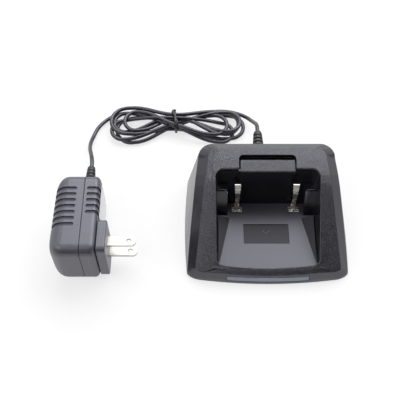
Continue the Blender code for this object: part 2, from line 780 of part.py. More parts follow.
# Blades, their short leads, and the parts inside the adapter.
for name, sign in (("lower", -1), ("upper", 1)):
    z = MID_Z + sign * BLADE_SPACING / 2
    half = BLADE_WIDTH / 2
    blade_line = [
        (-109.0, BLADE_Y - half),
        (BLADE_TIP_X - 2.0, BLADE_Y - half),
        (BLADE_TIP_X - 0.5, BLADE_Y - half + 1.2),
        (BLADE_TIP_X, BLADE_Y - half + 2.6),
        (BLADE_TIP_X, BLADE_Y + half - 2.6),
        (BLADE_TIP_X - 0.5, BLADE_Y + half - 1.2),
        (BLADE_TIP_X - 2.0, BLADE_Y + half),
        (-109.0, BLADE_Y + half),
    ]
    blade = prism(
        f"blade_{name}", blade_line, z - BLADE_THICK / 2, z + BLADE_THICK / 2, "nickel"
    )
    hole_x = BLADE_TIP_X - 4.2
    combine(
        blade, [rod(f"blade_hole_{name}", (hole_x, BLADE_Y, z - 3), (hole_x, BLADE_Y, z + 3), 1.6)]
    )
    rod(f"blade_lead_{name}", (-109.3, BLADE_Y, z), (-112.7, BLADE_Y, z), 0.8, "steel", steps=12)
box("adapter_board", (-114.5, -34.5, 4.5), (-113.0, 8.0, Z_HIGH - 4.5), "board_green")
transformer = box(
    "transformer", (-129.0, -14.0, 8.0), (-114.8, 2.0, 26.0), "winding_tape", bevel=0.5
)
for name, y, z, radius, length in (
    ("mains_capacitor", -26.0, 12.0, 5.5, 14.0),
    ("output_capacitor", -19.5, 27.4, 4.0, 12.0),
):
    profile = [(0, 0), (radius - 0.3, 0), (radius, 0.4), (radius, length - 0.4)]
    profile += [(radius - 0.3, length), (0, length)]
    turned(name, profile, (-114.8, y, z), (-1, 0, 0), "capacitor_blue", steps=24)
box("bridge_rectifier", (-118.0, -33.0, 22.0), (-114.8, -25.5, 30.0), "component_black", bevel=0.3)
rod("output_lead", (SEAM_X, 12.4, MID_Z), (SEAM_X, 7.0, MID_Z), 0.7, "component_black", steps=12)

strain_relief(
    "adapter_strain_relief",
    (SEAM_X, RELIEF_TIP_Y - 20.0, MID_Z),
    RELIEF_RADIUS,
    2.8,
    2.5,
    20.0,
)

# Cord: two free stretches, the tied hank, and its tie.
LIE = CORD_RADIUS + 0.1
from_cradle = [
    (GLAND_X, GLAND_TIP_Y + GAP + 0.05, GLAND_Z),
    (GLAND_X, GLAND_TIP_Y + 2.0, GLAND_Z),
    (GLAND_X, GLAND_TIP_Y + 4.0, GLAND_Z),
    (GLAND_X - 1.4, GLAND_TIP_Y + 11.0, 18.0),
    (GLAND_X - 3.6, GLAND_TIP_Y + 18.0, 8.5),
    (GLAND_X - 6.4, GLAND_TIP_Y + 23.0, 2.6),
    (GLAND_X - 9.0, GLAND_TIP_Y + 25.2, LIE),
    (GLAND_X - 11.4, GLAND_TIP_Y + 26.6, LIE),
]
tube("cord_from_cradle", smooth(from_cradle, 30), CORD_RADIUS, "cord_black")
to_adapter = [
    (-102.2, 87.3, LIE),
    (-105.4, 84.5, LIE),
    (-110.0, 79.0, LIE),
    (-114.6, 71.0, LIE),
    (-117.0, 60.0, LIE + 0.6),
    (-116.6, 50.5, 5.6),
    (-114.2, 42.0, 13.0),
    (SEAM_X, RELIEF_TIP_Y + 4.0, MID_Z),
    (SEAM_X, RELIEF_TIP_Y + 2.0, MID_Z),
    (SEAM_X, RELIEF_TIP_Y + GAP + 0.05, MID_Z),
]
tube("cord_to_adapter", smooth(to_adapter, 44), CORD_RADIUS, "cord_black")
hank_line = [
    (-103.0, 78.0),
    (-102.2, 84.0),
    (-99.0, 88.6),
    (-93.5, 92.2),
    (-85.0, 94.4),
    (-76.0, 93.0),
    (-68.0, 90.4),
    (-59.0, 88.6),
    (-50.0, 90.0),
    (-41.0, 91.6),
    (-32.0, 89.6),
    (-24.0, 86.4),
    (-18.0, 84.2),
    (-14.8, 80.0),
    (-16.0, 74.0),
    (-20.0, 68.8),
    (-27.0, 65.4),
    (-35.0, 67.0),
    (-46.0, 71.0),
    (-59.0, 72.4),
    (-68.0, 71.4),
    (-78.0, 67.6),
    (-89.0, 64.4),
    (-96.0, 66.4),
    (-101.0, 71.0),
]
hank = prism("cord_hank", hank_line, 0.0, HANK_HEIGHT, "cord_black")
TIE_X = -59.0
groove = box("tie_groove", (TIE_X - 2.4, 60, -2), (TIE_X + 2.4, 100, 1.6))
combine(hank, [groove])
tie = box("cord_tie", (TIE_X - 1.8, 70.6, 0.1), (TIE_X + 1.8, 90.6, HANK_HEIGHT + 1.4), "satin_black")
combine(tie, [box("tie_way", (TIE_X - 6, 71.8, 1.3), (TIE_X + 6, 89.5, HANK_HEIGHT + GAP))])
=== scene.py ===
import math

import bmesh
import bpy
from mathutils import Euler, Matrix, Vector


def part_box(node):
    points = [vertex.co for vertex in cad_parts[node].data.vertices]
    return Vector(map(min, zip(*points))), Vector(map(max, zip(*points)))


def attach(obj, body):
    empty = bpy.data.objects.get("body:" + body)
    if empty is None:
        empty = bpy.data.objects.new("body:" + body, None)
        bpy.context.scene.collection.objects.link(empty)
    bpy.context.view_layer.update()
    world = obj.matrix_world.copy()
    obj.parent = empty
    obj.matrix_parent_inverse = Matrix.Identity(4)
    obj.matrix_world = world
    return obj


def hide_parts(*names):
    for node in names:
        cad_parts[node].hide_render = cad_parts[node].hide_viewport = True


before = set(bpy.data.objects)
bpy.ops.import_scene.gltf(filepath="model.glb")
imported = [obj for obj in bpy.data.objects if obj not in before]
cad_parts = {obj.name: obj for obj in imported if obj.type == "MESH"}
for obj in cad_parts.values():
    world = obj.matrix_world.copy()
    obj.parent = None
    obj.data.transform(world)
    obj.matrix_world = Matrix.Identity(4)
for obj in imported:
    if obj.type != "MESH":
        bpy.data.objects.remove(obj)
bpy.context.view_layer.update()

# Camera: a table-top view down the middle of the set, from in front and steeply above.
# It looks at the desk between the adapter and the cradle.
aim = Vector((-0.0417, 0.0196, 0.0))
elevation = math.radians(58.0)
stand_off = 0.475
camera = bpy.data.objects.new("camera", bpy.data.cameras.new("camera"))
camera.data.lens = 64.8
camera.data.sensor_width = 36.0
camera.data.clip_start = 0.01
camera.location = aim + stand_off * Vector((0.0, -math.cos(elevation), math.sin(elevation)))
camera.rotation_euler = Euler((math.pi / 2 - elevation, 0.0, 0.0))
bpy.context.scene.collection.objects.link(camera)
bpy.context.scene.camera = camera
bpy.context.scene.view_settings.view_transform = "Standard"


# Cord: round black PVC lead, moulded into both strain reliefs. It leaves the cradle, runs into a
# hank of five turns that is still folded as it was packed, and goes on through the adapter's boot
# into the case, where its wires are soldered.
def mm(x, y, z):
    """A point given in millimetres."""
    return Vector((x, y, z)) * 0.001


cord_radius = 0.00135
lie = 1.75  # millimetres from the desk to the middle of the cord where it rests
from_cradle = [
    (-3.8, 57.35, 24.0),
    (-3.8, 61.0, 23.8),
    (-4.0, 66.0, 21.0),
    (-4.8, 72.0, 15.4),
    (-6.2, 78.6, 9.2),
    (-9.0, 84.6, 5.0),
    (-14.0, 88.8, 3.4),
    (-22.0, 90.4, 4.2),
    (-34.0, 88.6, 6.6),
]
to_adapter = [
    (-74.0, 86.0, 2.6),
    (-88.0, 90.6, 1.7),
    (-96.0, 90.8, lie),
    (-102.4, 88.4, lie),
    (-108.2, 84.0, lie),
    (-112.8, 78.0, lie),
    (-115.6, 70.6, 1.7),
    (-116.6, 62.6, 4.4),
    (-115.8, 54.6, 9.0),
    (-114.0, 47.0, 14.0),
    (-112.6, 41.0, 17.2),
    (-112.0, 36.8, 18.0),
    (-112.0, 33.15, 18.0),
    (-112.0, 26.0, 18.0),
    (-112.0, 19.0, 18.0),
    (-112.0, 12.5, 18.0),
]
tie_x = -59.0
tie_rise = 1.2
# Each turn: far side under the tie (y, z), left bend (reach, y in, y out, z), near side under the
# tie (y, z), right bend (reach, y in, y out, z). Some turns are folded in across themselves, and
# under the tie they all lie on its strip, tie_rise higher.
turns = [
    ((84.6, 7.2), (-103.4, 92.6, 70.0, 5.6), (76.2, lie), (-11.5, 68.6, 88.6, lie)),
    ((81.8, 4.5), (-99.5, 86.6, 65.2, lie), (79.0, lie), (-15.0, 88.8, 70.4, 4.5)),
    ((84.6, 4.5), (-101.5, 73.2, 89.6, 3.4), (76.2, 4.5), (-19.0, 65.6, 82.2, lie)),
    ((81.8, 7.2), (-103.0, 83.0, 66.6, 3.6), (79.0, 4.5), (-14.0, 88.0, 71.6, 6.4)),
    ((84.6, lie), (-94.0, 72.4, 88.8, 6.2), (76.2, 7.2), (-23.0, 69.6, 86.0, 5.6)),
]


def bend(reach, first, last, z, side):
    """Half circle of cord from y=first to y=last, reaching out to x=reach."""
    radius = abs(first - last) / 2
    middle = (first + last) / 2
    points = []
    for degrees in (0, 45, 90, 135, 180):
        along = math.radians(degrees)
        x = reach - side * radius * (1 - math.sin(along))
        points.append((x, middle + (first - middle) * math.cos(along), z))
    return points


route = list(from_cradle)
for (far_y, far_z), left, (near_y, near_z), right in turns:
    route.append((tie_x, far_y, far_z + tie_rise))
    route += bend(*left, side=-1)
    route.append((tie_x, near_y, near_z + tie_rise))
    route += bend(*right, side=1)
route.append((tie_x, 81.8, lie + tie_rise))
route += to_adapter

cord_line = bpy.data.curves.new("charging_cord", "CURVE")
cord_line.dimensions = "3D"
cord_line.bevel_depth = cord_radius
cord_line.bevel_resolution = 5
cord_line.resolution_u = 8
cord_line.use_fill_caps = True
spline = cord_line.splines.new("BEZIER")
spline.bezier_points.add(len(route) - 1)
for point, place in zip(spline.bezier_points, route):
    point.co = mm(*place)
    point.handle_left_type = point.handle_right_type = "AUTO"
cord = bpy.data.objects.new("charging_cord", cord_line)
bpy.context.scene.collection.objects.link(cord)


def shader_of(name, colour, roughness, metallic=0.0):
    """A new material, its node tree and its Principled shader."""
    material = bpy.data.materials.new(name)
    material.use_nodes = True
    tree = material.node_tree
    shader = tree.nodes["Principled BSDF"]
    shader.inputs["Base Color"].default_value = (*colour, 1.0)
    shader.inputs["Roughness"].default_value = roughness
    shader.inputs["Metallic"].default_value = metallic
    return material, tree, shader


def sheen(shader, level):
    """Strength of a plastic's surface reflection, which is faintly violet."""
    shader.inputs["Specular IOR Level"].default_value = level
    shader.inputs["Specular Tint"].default_value = (0.90, 0.89, 1.0, 1.0)


def noise_in(tree, scale, detail=3.0, stretch=(1.0, 1.0, 1.0)):
    """Noise in the piece's own space, scale in grains per metre."""
    where = tree.nodes.new("ShaderNodeTexCoord")
    fit = tree.nodes.new("ShaderNodeMapping")
    fit.inputs["Scale"].default_value = stretch
    noise = tree.nodes.new("ShaderNodeTexNoise")
    noise.inputs["Scale"].default_value = scale
    noise.inputs["Detail"].default_value = detail
    tree.links.new(where.outputs["Object"], fit.inputs["Vector"])
    tree.links.new(fit.outputs["Vector"], noise.inputs["Vector"])
    return noise.outputs["Fac"]


def spread_between(tree, factor, low, high, start=0.3, end=0.7):
    """A value that follows factor from low to high."""
    span = tree.nodes.new("ShaderNodeMapRange")
    limits = {"From Min": start, "From Max": end, "To Min": low, "To Max": high}
    for socket, value in limits.items():
        span.inputs[socket].default_value = value
    tree.links.new(factor, span.inputs["Value"])
    return span.outputs["Result"]


def tint(tree, shader, factor, dark, light):
    """Base colour that wanders from dark to light with factor."""
    mix = tree.nodes.new("ShaderNodeMix")
    mix.data_type = "RGBA"
    mix.inputs["A"].default_value = (*dark, 1.0)
    mix.inputs["B"].default_value = (*light, 1.0)
    tree.links.new(factor, mix.inputs["Factor"])
    tree.links.new(mix.outputs["Result"], shader.inputs["Base Color"])


def raise_grain(tree, shader, height, depth, strength=1.0, rounding=0.0003):
    """Bump of the given depth in metres, over edges rounded by the shader."""
    bump = tree.nodes.new("ShaderNodeBump")
    bump.inputs["Distance"].default_value = depth
    if isinstance(strength, float):
        bump.inputs["Strength"].default_value = strength
    else:
        tree.links.new(strength, bump.inputs["Strength"])
    edge = tree.nodes.new("ShaderNodeBevel")
    edge.samples = 4
    edge.inputs["Radius"].default_value = rounding
    tree.links.new(height, bump.inputs["Height"])
    tree.links.new(edge.outputs["Normal"], bump.inputs["Normal"])
    tree.links.new(bump.outputs["Normal"], shader.inputs["Normal"])


pvc, pvc_tree, pvc_shader = shader_of("satin_pvc", (0.014, 0.014, 0.016), 0.34)
sheen(pvc_shader, 0.9)
mottle = noise_in(pvc_tree, 260.0)
tint(pvc_tree, pvc_shader, mottle, (0.007, 0.007, 0.010), (0.018, 0.018, 0.024))
pvc_tree.links.new(spread_between(pvc_tree, mottle, 0.28, 0.42), pvc_shader.inputs["Roughness"])
raise_grain(pvc_tree, pvc_shader, noise_in(pvc_tree, 900.0), 0.00003)
cord.data.materials.append(pvc)


# Twist tie: a wire in a black plastic sleeve, bent tightly round the waist of the hank. Its two
# ends are folded over on top.
tie_radius = 0.001
tie_line = bpy.data.curves.new("twist_tie", "CURVE")
tie_line.dimensions = "3D"
tie_line.bevel_depth = tie_radius
tie_line.bevel_resolution = 2
tie_line.resolution_u = 6
tie_line.use_fill_caps = True
loop = [
    (-58.2, 73.4, 5.2),
    (-58.5, 75.0, 9.5),
    (-58.8, 80.4, 10.6),
    (-59.4, 85.8, 9.5),
    (-59.8, 87.4, 5.2),
    (-59.6, 85.8, 1.4),
    (-59.0, 80.4, 1.1),
    (-58.4, 75.0, 1.4),
]
tails = [
    [(-59.4, 82.6, 10.6), (-60.6, 85.2, 10.8), (-59.2, 87.2, 9.6), (-60.4, 88.6, 7.8)],
    [(-58.4, 78.6, 10.6), (-57.4, 76.0, 10.4), (-58.6, 74.0, 8.2)],
]
for points, closed in ((loop, True), (tails[0], False), (tails[1], False)):
    strand = tie_line.splines.new("BEZIER")
    strand.bezier_points.add(len(points) - 1)
    strand.use_cyclic_u = closed
    for point, place in zip(strand.bezier_points, points):
        point.co = mm(*place)
        point.handle_left_type = point.handle_right_type = "AUTO"
twist_tie = bpy.data.objects.new("twist_tie", tie_line)
bpy.context.scene.collection.objects.link(twist_tie)
strip, strip_tree, strip_shader = shader_of("tie_strip", (0.02, 0.02, 0.024), 0.3)
raise_grain(strip_tree, strip_shader, noise_in(strip_tree, 700.0, stretch=(1, 1, 4)), 0.00004)
twist_tie.data.materials.append(strip)
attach(twist_tie, "charger")
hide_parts("cord_tie")


def clad(material, *nodes):
    """Gives CAD nodes this material."""
    for node in nodes:
        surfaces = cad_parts[node].data.materials
        surfaces.clear()
        surfaces.append(material)


# Housing and clip tab: one black ABS moulding each. The top has a spark grain, and the bevelled
# band and the walls round it are left smooth and satin by the mould.
def facing(tree, axis):
    """The x, y or z part of the surface's own direction."""
    surface = tree.nodes.new("ShaderNodeNewGeometry")
    split = tree.nodes.new("ShaderNodeSeparateXYZ")
    tree.links.new(surface.outputs["True Normal"], split.inputs["Vector"])
    return split.outputs[axis]


def math_node(tree, operation, first, second=None):
    node = tree.nodes.new("ShaderNodeMath")
    node.operation = operation
    for socket, value in zip(node.inputs, (first, second)):
        if isinstance(value, float):
            socket.default_value = value
        elif value is not None:
            tree.links.new(value, socket)
    return node.outputs["Value"]


# The grain stops where a face turns further than this to a side or to the rear, or stands steeper.
side_limit, rear_limit, steep_limit = 0.42, 0.3, 0.74
pit_scale, pit_depth, speckle_scale = 1900.0, 0.00012, 1500.0
smooth_shade = 0.3
abs_grain, grain_tree, grain_shader = shader_of("grained_abs", (0.03, 0.03, 0.034), 0.42)
sideways = math_node(grain_tree, "ABSOLUTE", facing(grain_tree, "X"))
not_side = math_node(grain_tree, "LESS_THAN", sideways, side_limit)
not_rear = math_node(grain_tree, "LESS_THAN", facing(grain_tree, "Y"), rear_limit)
upward = math_node(grain_tree, "GREATER_THAN", facing(grain_tree, "Z"), steep_limit)
grained = math_node(
    grain_tree, "MULTIPLY", math_node(grain_tree, "MULTIPLY", not_side, not_rear), upward
)
sheen(grain_shader, 1.0)
cell_place = grain_tree.nodes.new("ShaderNodeTexCoord")
cells = grain_tree.nodes.new("ShaderNodeTexVoronoi")
cells.inputs["Scale"].default_value = pit_scale
cells.inputs["Randomness"].default_value = 1.0
grain_tree.links.new(cell_place.outputs["Object"], cells.inputs["Vector"])
pits = spread_between(grain_tree, cells.outputs["Distance"], 1.0, 0.0, 0.1, 0.75)
# Lighter flecks in the grain's colour: partly the grain's own tone, partly painted glints on its
# bumps.
speckle_noise = noise_in(grain_tree, speckle_scale, detail=2.0)
speckle_and_glint = spread_between(grain_tree, speckle_noise, 0.0, 1.0, 0.46, 0.60)
smooth_part = math_node(grain_tree, "SUBTRACT", 1.0, grained)
shade = math_node(
    grain_tree,
    "ADD",
    math_node(grain_tree, "MULTIPLY", speckle_and_glint, grained),
    math_node(grain_tree, "MULTIPLY", smooth_part, smooth_shade),
)
tint(grain_tree, grain_shader, shade, (0.001, 0.001, 0.0015), (0.046, 0.046, 0.056))
grain_tree.links.new(
    spread_between(grain_tree, grained, 0.24, 0.32, 0.0, 1.0), grain_shader.inputs["Roughness"]
)
raise_grain(
    grain_tree,
    grain_shader,
    pits,
    pit_depth,
    spread_between(grain_tree, grained, 0.01, 1.0, 0.0, 1.0),
    rounding=0.0009,
)
clad(abs_grain, "top_housing", "clip_tab")


# Charging well: a separate glossy black cup whose floor is spark-eroded to a fine satin.
# The radio stands on that floor, between the two guide wedges.
cup, cup_tree, cup_shader = shader_of("well_abs", (0.008, 0.008, 0.009), 0.16)
well_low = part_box("charging_well")[0]
floor_thickness = 0.0015
floor_margin = 0.0002
spot = cup_tree.nodes.new("ShaderNodeNewGeometry")
height = cup_tree.nodes.new("ShaderNodeSeparateXYZ")
cup_tree.links.new(spot.outputs["Position"], height.inputs["Vector"])
floor_top = well_low[2] + floor_thickness + floor_margin
near_floor = math_node(cup_tree, "LESS_THAN", height.outputs["Z"], floor_top)
level = math_node(cup_tree, "GREATER_THAN", facing(cup_tree, "Z"), 0.95)
on_floor = math_node(cup_tree, "MULTIPLY", near_floor, level)
sheen(cup_shader, 0.7)
tint(cup_tree, cup_shader, on_floor, (0.014, 0.014, 0.017), (0.038, 0.038, 0.048))
cup_tree.links.new(
    spread_between(cup_tree, on_floor, 0.16, 0.36, 0.0, 1.0), cup_shader.inputs["Roughness"]
)
raise_grain(
    cup_tree,
    cup_shader,
    noise_in(cup_tree, 2600.0),
    0.00004,
    spread_between(cup_tree, on_floor, 0.05, 0.8, 0.0, 1.0),
    rounding=0.0004,
)
clad(cup, "charging_well")


# Well details: a sloped cheek on each side brings the radio's tapered foot to the middle, and a
# darker sunk plate in the floor. All of them are part of the cup's moulding.
floor_z = 1000 * well_low[2] + 1000 * floor_thickness
cheek_outer, cheek_inner = 30.1, 22.4
cheek_front, cheek_back = -33.6, 1.6
cheek_rise, cheek_sink = 4.0, 0.2
cheek_abs, cheek_tree, cheek_shader = shader_of("cheek_abs", (0.014, 0.014, 0.018), 0.42)
sheen(cheek_shader, 0.45)
raise_grain(cheek_tree, cheek_shader, noise_in(cheek_tree, 2600.0), 0.00002)
for side, name in ((-1, "left"), (1, "right")):
    cheek_mesh = bpy.data.meshes.new(f"well_cheek_{name}")
    corners = [
        mm(side * cheek_outer, cheek_front, floor_z - cheek_sink),
        mm(side * cheek_inner, cheek_back, floor_z - cheek_sink),
        mm(side * cheek_outer, cheek_back, floor_z - cheek_sink),
        mm(side * cheek_outer, cheek_back, floor_z + cheek_rise),
    ]
    cheek_mesh.from_pydata(corners, [], [(0, 1, 3), (0, 3, 2), (1, 2, 3), (0, 2, 1)])
    cheek = bpy.data.objects.new(f"well_cheek_{name}", cheek_mesh)
    bpy.context.scene.collection.objects.link(cheek)
    cheek_mesh.materials.append(cheek_abs)
    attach(cheek, "charger")
plate_half, plate_front, plate_back = 14.0, -16.6, -3.2
plate_low, plate_high = floor_z - 0.62, floor_z - 0.45
plate_edge = [
    (-plate_half, plate_front),
    (plate_half, plate_front),
    (plate_half, plate_back),
    (-plate_half, plate_back),
]
sunk_mesh = bpy.data.meshes.new("floor_plate")
sunk = [(x, y, z) for z in (plate_low, plate_high) for x, y in plate_edge]
sides = [(0, 3, 2, 1), (4, 5, 6, 7), (0, 1, 5, 4), (1, 2, 6, 5), (2, 3, 7, 6), (3, 0, 4, 7)]
sunk_mesh.from_pydata([mm(*corner) for corner in sunk], [], sides)
floor_plate = bpy.data.objects.new("floor_plate", sunk_mesh)
bpy.context.scene.collection.objects.link(floor_plate)
sunk_abs, sunk_tree, sunk_shader = shader_of("sunk_abs", (0.014, 0.014, 0.018), 0.4)
sheen(sunk_shader, 0.3)
raise_grain(sunk_tree, sunk_shader, noise_in(sunk_tree, 1800.0), 0.00004)
sunk_mesh.materials.append(sunk_abs)
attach(floor_plate, "charger")


# Guide rims: the rounded lip along the top of each guide wedge, which catches the light; its light
# grey colour is that highlight painted in.
lip_radius, lip_z = 0.00035, 24.5
lip_bend = [(30.4, 11.9), (27.4, 11.9), (25.4, 11.2), (24.6, 8.8)]
rim_highlight_abs, rim_tree, rim_shader = shader_of("rim_highlight_abs", (0.09, 0.09, 0.10), 0.2)
sheen(rim_shader, 1.0)
raise_grain(rim_tree, rim_shader, noise_in(rim_tree, 1800.0), 0.00001)
for side, name in ((-1, "left"), (1, "right")):
    lip_line = bpy.data.curves.new(f"guide_rim_{name}", "CURVE")
    lip_line.dimensions = "3D"
    lip_line.bevel_depth = lip_radius
    lip_line.bevel_resolution = 2
    lip_line.use_fill_caps = True
    lip = lip_line.splines.new("BEZIER")
    lip.bezier_points.add(len(lip_bend) - 1)
    for point, (x, y) in zip(lip.bezier_points, lip_bend):
        point.co = mm(side * x, y, lip_z)
        point.handle_left_type = point.handle_right_type = "AUTO"
    lip_piece = bpy.data.objects.new(f"guide_rim_{name}", lip_line)
    bpy.context.scene.collection.objects.link(lip_piece)
    lip_line.materials.append(rim_highlight_abs)
    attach(lip_piece, "charger")


# Direction mark: a small moulded chevron in the recess of the well's floor, pointing to the front.
mark_radius, mark_z = 0.0003, floor_z - 0.4
mark_bend = [(-1.9, -7.4), (0.0, -10.2), (1.9, -7.4)]
mark_line = bpy.data.curves.new("direction_mark", "CURVE")
mark_line.dimensions = "3D"
mark_line.bevel_depth = mark_radius
mark_line.bevel_resolution = 1
mark_line.use_fill_caps = True
chevron = mark_line.splines.new("POLY")
chevron.points.add(len(mark_bend) - 1)
for point, place in zip(chevron.points, mark_bend):
    point.co = (*mm(*place, mark_z), 1.0)
mark = bpy.data.objects.new("direction_mark", mark_line)
bpy.context.scene.collection.objects.link(mark)
mark_abs, mark_tree, mark_shader = shader_of("mark_abs", (0.16, 0.16, 0.18), 0.22)
raise_grain(mark_tree, mark_shader, noise_in(mark_tree, 2600.0), 0.00002)
mark.data.materials.append(mark_abs)
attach(mark, "charger")


# Light bar: a frosted polycarbonate light pipe that fills the window in the front band.
# Two small lamps on the board shine into it.
frost, frost_tree, frost_shader = shader_of("frosted_bar", (0.33, 0.36, 0.46), 0.32)
cloud = noise_in(frost_tree, 120.0)
tint(frost_tree, frost_shader, cloud, (0.26, 0.29, 0.38), (0.40, 0.43, 0.53))
frost_shader.inputs["Subsurface Weight"].default_value = 0.25
frost_shader.inputs["Subsurface Radius"].default_value = (0.002, 0.002, 0.003)
raise_grain(frost_tree, frost_shader, noise_in(frost_tree, 2200.0), 0.00003)
clad(frost, "light_bar")
lamp, lamp_tree, lamp_shader = shader_of("lamp_epoxy", (0.75, 0.8, 0.74), 0.12)
tint(lamp_tree, lamp_shader, noise_in(lamp_tree, 500.0), (0.65, 0.7, 0.64), (0.8, 0.85, 0.8))
clad(lamp, "status_lamp_left", "status_lamp_right")


# Contacts and blades: stamped and bent strip with bright nickel plating, rolled along its length.
# The contact leaves spring back from their feet, and a small screw holds each foot.
nickel, nickel_tree, nickel_shader = shader_of("nickel_plate", (0.8, 0.78, 0.71), 0.24, 1.0)
rolled = noise_in(nickel_tree, 900.0, stretch=(0.12, 1.0, 1.0))
tint(nickel_tree, nickel_shader, rolled, (0.72, 0.69, 0.61), (0.88, 0.86, 0.80))
nickel_tree.links.new(
    spread_between(nickel_tree, rolled, 0.16, 0.34), nickel_shader.inputs["Roughness"]
)
raise_grain(nickel_tree, nickel_shader, rolled, 0.00001, rounding=0.00015)
for side in ("left", "right"):
    clad(nickel, f"contact_leaf_{side}", f"contact_foot_{side}", f"contact_screw_{side}")
# The blades get a darker, duller copy of the same nickel; its darker tone is painted shade.
blade, blade_tree, blade_shader = shader_of("blade_nickel_shaded", (0.5, 0.49, 0.45), 0.38, 1.0)
drawn = noise_in(blade_tree, 700.0, stretch=(0.1, 1.0, 1.0))
tint(blade_tree, blade_shader, drawn, (0.42, 0.41, 0.37), (0.56, 0.55, 0.51))
raise_grain(blade_tree, blade_shader, drawn, 0.00001, rounding=0.0003)
clad(blade, "blade_lower", "blade_upper", "blade_lead_lower", "blade_lead_upper")


# Base cover, feet and screws: a satin ABS plate, four pressed-in rubber discs and four
# zinc-plated screws that pull the plate up against the housing.
plate, plate_tree, plate_shader = shader_of("cover_abs", (0.02, 0.02, 0.022), 0.45)
cover_clouds = noise_in(plate_tree, 400.0)
tint(plate_tree, plate_shader, cover_clouds, (0.015, 0.015, 0.017), (0.03, 0.03, 0.033))
raise_grain(plate_tree, plate_shader, noise_in(plate_tree, 1800.0), 0.00008)
clad(plate, "base_cover")
rubber, rubber_tree, rubber_shader = shader_of("foot_rubber", (0.018, 0.018, 0.018), 0.75)
bloom = noise_in(rubber_tree, 800.0)
tint(rubber_tree, rubber_shader, bloom, (0.012, 0.012, 0.012), (0.03, 0.03, 0.03))
raise_grain(rubber_tree, rubber_shader, noise_in(rubber_tree, 2000.0), 0.00006)
zinc, zinc_tree, zinc_shader = shader_of("zinc_plate", (0.55, 0.56, 0.58), 0.3, 1.0)
tint(zinc_tree, zinc_shader, noise_in(zinc_tree, 1200.0), (0.48, 0.49, 0.51), (0.62, 0.63, 0.66))
raise_grain(zinc_tree, zinc_shader, noise_in(zinc_tree, 3000.0), 0.00001, rounding=0.00012)
for place in ("front_left", "front_right", "rear_left", "rear_right"):
    clad(rubber, f"foot_{place}")
    clad(zinc, f"housing_screw_{place}")


# Strain reliefs: soft PVC boots moulded on the cord, ribbed so that they bend evenly.
boot, boot_tree, boot_shader = shader_of("boot_pvc", (0.02, 0.02, 0.022), 0.42)
boot_clouds = noise_in(boot_tree, 500.0)
tint(boot_tree, boot_shader, boot_clouds, (0.014, 0.014, 0.016), (0.032, 0.032, 0.036))
raise_grain(boot_tree, boot_shader, noise_in(boot_tree, 1500.0), 0.00005)
clad(boot, "cradle_strain_relief", "adapter_strain_relief")


# Wall adapter: two ABS shells with a fine matte grain, welded at the seam. The rear one is well
# rounded at the back. Rows of round-ended vent grooves wrap over the edge of each.
shell_corner, shell_taper, least_round = 5.5, 0.9, 1.0
shell_wall, groove_depth, seam_land = 1.1, 0.7, 0.5
groove_step, groove_start, groove_half = 4.18, 5.7, 1.05
groove_low, groove_high, groove_overshoot = 22.0, 40.0, 4.0
ring_step = 15


def shell_skin(back_x, seam_x, rim, shrink=0.0):
    """Rings of a shell from the seam to its closed end, all sides moved in by shrink."""
    low_y, high_y, low_z, high_z = -38.5, 16.5, 0.0, 36.0
    way = 1 if back_x > seam_x else -1
    depth = abs(back_x - seam_x) - shrink
    rings = []
    stations = [(0.0, 0.0), (depth - rim, 0.0)]
    for degrees in range(ring_step, 91, ring_step):
        t = math.radians(degrees)
        stations.append((depth - rim + rim * math.sin(t), rim - rim * math.cos(t)))
    for along, inset in stations:
        inset += shrink
        corner = max(shell_corner - shrink, least_round)
        ring = []
        for side_y, side_z, start in ((1, 1, 0), (-1, 1, 90), (-1, -1, 180), (1, -1, 270)):
            middle_y = (high_y if side_y > 0 else low_y) - side_y * (inset + corner)
            middle_z = (high_z if side_z > 0 else low_z) - side_z * (inset + corner)
            for degrees in range(0, 91, ring_step):
                turn = math.radians(start + degrees)
                y = middle_y + corner * math.cos(turn)
                lean = shell_taper * (y - low_y) / (high_y - low_y) * along / depth
                taper = lean if way < 0 else 0.0
                z = middle_z + corner * math.sin(turn)
                ring.append(mm(seam_x + way * (along - taper), y, z))
        rings.append(ring)
    return rings


def ring_faces(rings, first):
    """Quads between neighbouring rings and one face over the closed end."""
    count = len(rings[0])
    faces = []
    for r in range(len(rings) - 1):
        for i in range(count):
            j = (i + 1) % count
            low, high = first + r * count, first + (r + 1) * count
            faces.append((low + i, low + j, high + j, high + i))
    end = first + (len(rings) - 1) * count
    faces.append(tuple(end + i for i in range(count)))
    return faces


def tidy_mesh(name, vertices, faces):
    """Closed mesh object with all of its faces turned outwards."""
    mesh = bpy.data.meshes.new(name)
    mesh.from_pydata(vertices, [], faces)
    shape = bmesh.new()
    shape.from_mesh(mesh)
    bmesh.ops.recalc_face_normals(shape, faces=shape.faces)
    shape.to_mesh(mesh)
    shape.free()
    made = bpy.data.objects.new(name, mesh)
    bpy.context.scene.collection.objects.link(made)
    return made


def solid_skin(name, rings):
    count = len(rings[0])
    faces = ring_faces(rings, 0) + [tuple(reversed(range(count)))]
    return tidy_mesh(name, [v for ring in rings for v in ring], faces)


def cut(target, cutter):
    """Cutter taken out of target, baked into the target's own mesh; the cutter goes."""
    step = target.modifiers.new("cut", "BOOLEAN")
    step.operation = "DIFFERENCE"
    step.solver = "EXACT"
    step.object = cutter
    step.material_mode = "TRANSFER"
    seen_now = bpy.context.evaluated_depsgraph_get()
    baked = bpy.data.meshes.new_from_object(target.evaluated_get(seen_now))
    target.modifiers.clear()
    target.data = baked
    bpy.data.objects.remove(cutter)


def stadium(name, x_round, x_far, y, half, low, high):
    """Upright slot cutter with a round end at x_round."""
    way = 1 if x_far > x_round else -1
    edge = [(x_far, y - half), (x_far, y + half)]
    for degrees in range(90, 271, 30):
        t = math.radians(degrees)
        edge.append((x_round + half * way + way * half * math.cos(t), y + half * math.sin(t)))
    count = len(edge)
    vertices = [mm(x, v, z) for z in (low, high) for x, v in edge]
    faces = [tuple(range(count)), tuple(range(count, 2 * count))]
    faces += [(i, (i + 1) % count, count + (i + 1) % count, count + i) for i in range(count)]
    return tidy_mesh(name, vertices, faces)


